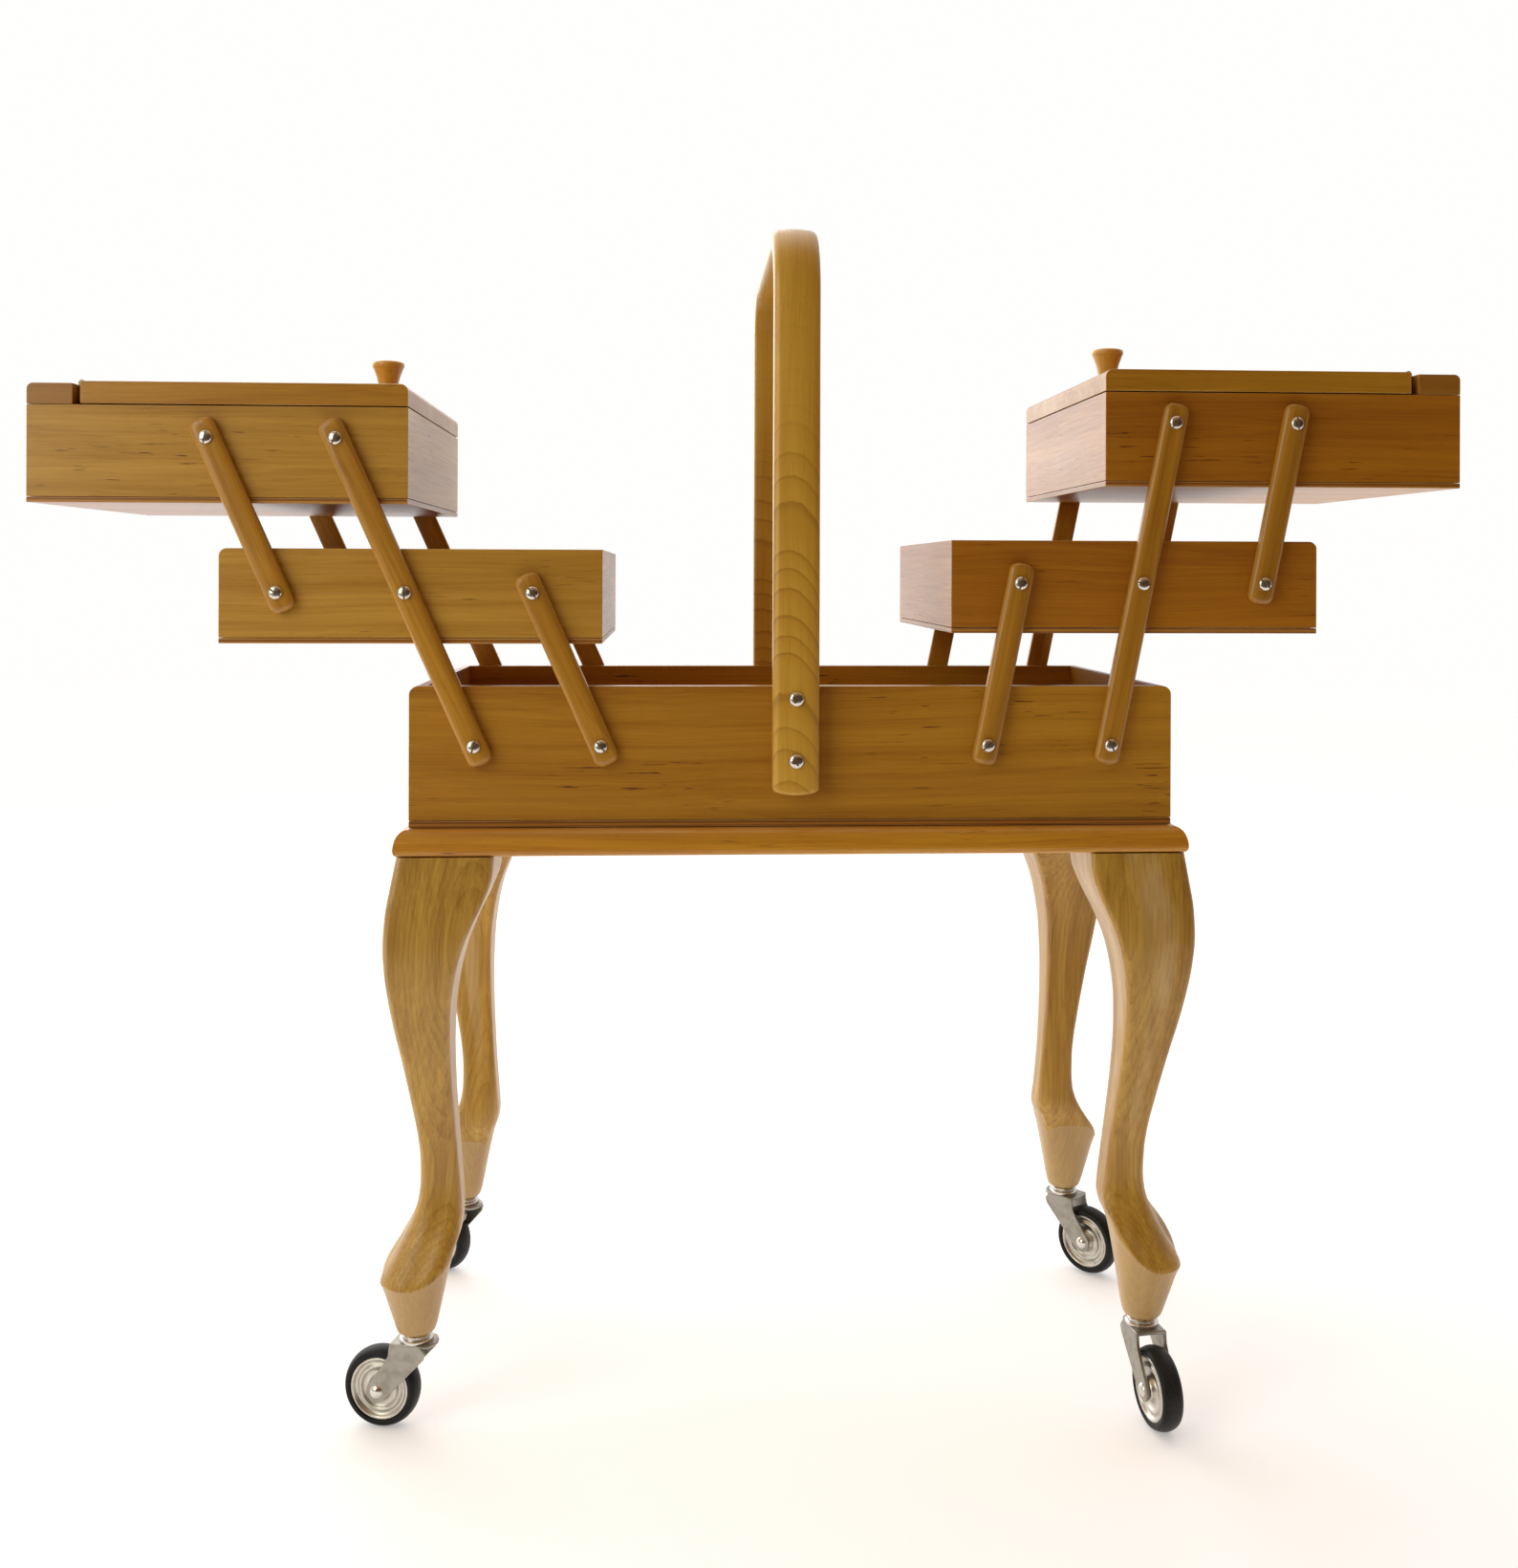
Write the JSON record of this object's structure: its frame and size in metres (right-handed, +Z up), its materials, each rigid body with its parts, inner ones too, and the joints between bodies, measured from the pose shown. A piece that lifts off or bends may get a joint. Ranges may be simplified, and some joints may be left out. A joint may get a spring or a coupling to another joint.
{
  "type": "cantilever sewing box",
  "caption": "Wooden cantilever sewing box on cabriole legs with swivel casters; both wings of trays fold out on side links under a fixed bentwood handle.",
  "frame": {"origin": "centre of the underside of the plinth board the legs are fixed to", "axes": "+X to the right along the box, -Y the front, +Z up; the wings fold in the XZ plane"},
  "size_m": [0.8066, 0.2602, 0.6768],
  "materials": {
    "carcass_wood": "honey-lacquered, long grain along the boards, soft sheen",
    "plywood": "thin lacquered plywood",
    "leg_beech": "pale lacquered beech, grain along the leg",
    "handle_beech": "lacquered bentwood beech",
    "link_beech": "lacquered beech strips",
    "knob_beech": "turned beech, lacquered",
    "nickel": "nickel-plated, lightly worn",
    "caster_zinc": "zinc-plated pressed steel, lightly stained",
    "hinge_brass": "thin pressed brass, dulled",
    "tyre_rubber": "black moulded rubber, slight sheen"
  },
  "bodies": {
    "base": {"plinth": "carcass_wood", "base_floor": "plywood", "base_walls": "carcass_wood", "leg_fl": "leg_beech", "leg_fr": "leg_beech", "leg_rl": "leg_beech", "leg_rr": "leg_beech", "handle": "handle_beech", "handle_screw_front_lower": "nickel", "handle_screw_front_upper": "nickel", "handle_screw_rear_lower": "nickel", "handle_screw_rear_upper": "nickel"},
    "left_long_links": {"left_long_link_front": "link_beech", "left_long_link_rear": "link_beech"},
    "left_lower_links": {"left_lower_link_front": "link_beech", "left_lower_link_rear": "link_beech"},
    "left_upper_links": {"left_upper_link_front": "link_beech", "left_upper_link_rear": "link_beech"},
    "left_mid_tray": {"left_mid_walls": "carcass_wood", "left_mid_floor": "plywood"},
    "left_top_tray": {"left_top_walls": "carcass_wood", "left_top_floor": "plywood", "left_lid_rail": "carcass_wood", "left_hinge_rail_leaf": "hinge_brass"},
    "left_lid": {"left_lid": "carcass_wood", "left_knob": "knob_beech", "left_hinge_lid_leaf": "hinge_brass"},
    "right_long_links": {"right_long_link_front": "link_beech", "right_long_link_rear": "link_beech"},
    "right_lower_links": {"right_lower_link_front": "link_beech", "right_lower_link_rear": "link_beech"},
    "right_upper_links": {"right_upper_link_front": "link_beech", "right_upper_link_rear": "link_beech"},
    "right_mid_tray": {"right_mid_walls": "carcass_wood", "right_mid_floor": "plywood"},
    "right_top_tray": {"right_top_walls": "carcass_wood", "right_top_floor": "plywood", "right_lid_rail": "carcass_wood", "right_hinge_rail_leaf": "hinge_brass"},
    "right_lid": {"right_lid": "carcass_wood", "right_knob": "knob_beech", "right_hinge_lid_leaf": "hinge_brass"},
    "caster_fl_swivel": {"caster_fl_fork": "caster_zinc", "caster_fl_axle": "nickel"},
    "caster_fl_roller": {"caster_fl_wheel": "nickel", "caster_fl_tyre": "tyre_rubber"},
    "caster_fr_swivel": {"caster_fr_fork": "caster_zinc", "caster_fr_axle": "nickel"},
    "caster_fr_roller": {"caster_fr_wheel": "nickel", "caster_fr_tyre": "tyre_rubber"},
    "caster_rl_swivel": {"caster_rl_fork": "caster_zinc", "caster_rl_axle": "nickel"},
    "caster_rl_roller": {"caster_rl_wheel": "nickel", "caster_rl_tyre": "tyre_rubber"},
    "caster_rr_swivel": {"caster_rr_fork": "caster_zinc", "caster_rr_axle": "nickel"},
    "caster_rr_roller": {"caster_rr_wheel": "nickel", "caster_rr_tyre": "tyre_rubber"}
  },
  "joints": [
    {"name": "left_fold", "type": "hinge", "parent": "base", "child": "left_long_links", "pos_m": [-0.1785, 0, 0.0602], "axis": [0, 1, 0], "range_deg": [-24.3, 72.5]},
    {"name": "left_lower_swing", "type": "hinge", "parent": "base", "child": "left_lower_links", "pos_m": [-0.1085, 0, 0.0602], "axis": [0, 1, 0], "range_deg": [-25.3, 73.5]},
    {"name": "left_mid_level", "type": "hinge", "parent": "left_long_links", "child": "left_mid_tray", "pos_m": [-0.21652, 0, 0.14519], "axis": [0, 1, 0], "range_deg": [-73.5, 25.3]},
    {"name": "left_upper_swing", "type": "hinge", "parent": "left_mid_tray", "child": "left_upper_links", "pos_m": [-0.28652, 0, 0.14519], "axis": [0, 1, 0], "range_deg": [-25.3, 73.5]},
    {"name": "left_top_level", "type": "hinge", "parent": "left_long_links", "child": "left_top_tray", "pos_m": [-0.25453, 0, 0.23017], "axis": [0, 1, 0], "range_deg": [-73.5, 25.3]},
    {"name": "left_lid_hinge", "type": "hinge", "parent": "left_top_tray", "child": "left_lid", "pos_m": [-0.39623, 0, 0.26132], "axis": [0, -1, 0], "range_deg": [0, 178]},
    {"name": "right_fold", "type": "hinge", "parent": "base", "child": "right_long_links", "pos_m": [0.1785, 0, 0.0602], "axis": [0, -1, 0], "range_deg": [-37, 59.8]},
    {"name": "right_lower_swing", "type": "hinge", "parent": "base", "child": "right_lower_links", "pos_m": [0.1085, 0, 0.0602], "axis": [0, -1, 0], "range_deg": [-38, 60.8]},
    {"name": "right_mid_level", "type": "hinge", "parent": "right_long_links", "child": "right_mid_tray", "pos_m": [0.1969, 0, 0.15146], "axis": [0, -1, 0], "range_deg": [-60.8, 38]},
    {"name": "right_upper_swing", "type": "hinge", "parent": "right_mid_tray", "child": "right_upper_links", "pos_m": [0.2669, 0, 0.15146], "axis": [0, -1, 0], "range_deg": [-38, 60.8]},
    {"name": "right_top_level", "type": "hinge", "parent": "right_long_links", "child": "right_top_tray", "pos_m": [0.2153, 0, 0.24273], "axis": [0, -1, 0], "range_deg": [-60.8, 38]},
    {"name": "right_lid_hinge", "type": "hinge", "parent": "right_top_tray", "child": "right_lid", "pos_m": [0.357, 0, 0.27388], "axis": [0, 1, 0], "range_deg": [0, 178]},
    {"name": "caster_fl_turn", "type": "hinge", "parent": "base", "child": "caster_fl_swivel", "pos_m": [-0.21023, -0.09575, -0.28], "axis": [0, 0, 1], "continuous": true},
    {"name": "caster_fl_roll", "type": "hinge", "parent": "caster_fl_swivel", "child": "caster_fl_roller", "pos_m": [-0.22955, -0.09057, -0.299], "axis": [-0.2588, -0.9659, 0], "continuous": true},
    {"name": "caster_fr_turn", "type": "hinge", "parent": "base", "child": "caster_fr_swivel", "pos_m": [0.20076, -0.09575, -0.28], "axis": [0, 0, 1], "continuous": true},
    {"name": "caster_fr_roll", "type": "hinge", "parent": "caster_fr_swivel", "child": "caster_fr_roller", "pos_m": [0.20389, -0.1155, -0.299], "axis": [0.9877, 0.1564, 0], "continuous": true},
    {"name": "caster_rl_turn", "type": "hinge", "parent": "base", "child": "caster_rl_swivel", "pos_m": [-0.20853, 0.09575, -0.28], "axis": [0, 0, 1], "continuous": true},
    {"name": "caster_rl_roll", "type": "hinge", "parent": "caster_rl_swivel", "child": "caster_rl_roller", "pos_m": [-0.22491, 0.10722, -0.299], "axis": [-0.5736, -0.8192, 0], "continuous": true},
    {"name": "caster_rr_turn", "type": "hinge", "parent": "base", "child": "caster_rr_swivel", "pos_m": [0.20342, 0.09575, -0.28], "axis": [0, 0, 1], "continuous": true},
    {"name": "caster_rr_roll", "type": "hinge", "parent": "caster_rr_swivel", "child": "caster_rr_roller", "pos_m": [0.21706, 0.08112, -0.299], "axis": [0.7314, 0.682, 0], "continuous": true}
  ],
  "couplings": [
    {"joint": "left_lower_swing", "follows": "left_fold", "ratio": 1},
    {"joint": "left_mid_level", "follows": "left_fold", "ratio": -1},
    {"joint": "left_upper_swing", "follows": "left_fold", "ratio": 1},
    {"joint": "left_top_level", "follows": "left_fold", "ratio": -1},
    {"joint": "right_lower_swing", "follows": "right_fold", "ratio": 1},
    {"joint": "right_mid_level", "follows": "right_fold", "ratio": -1},
    {"joint": "right_upper_swing", "follows": "right_fold", "ratio": 1},
    {"joint": "right_top_level", "follows": "right_fold", "ratio": -1}
  ]
}
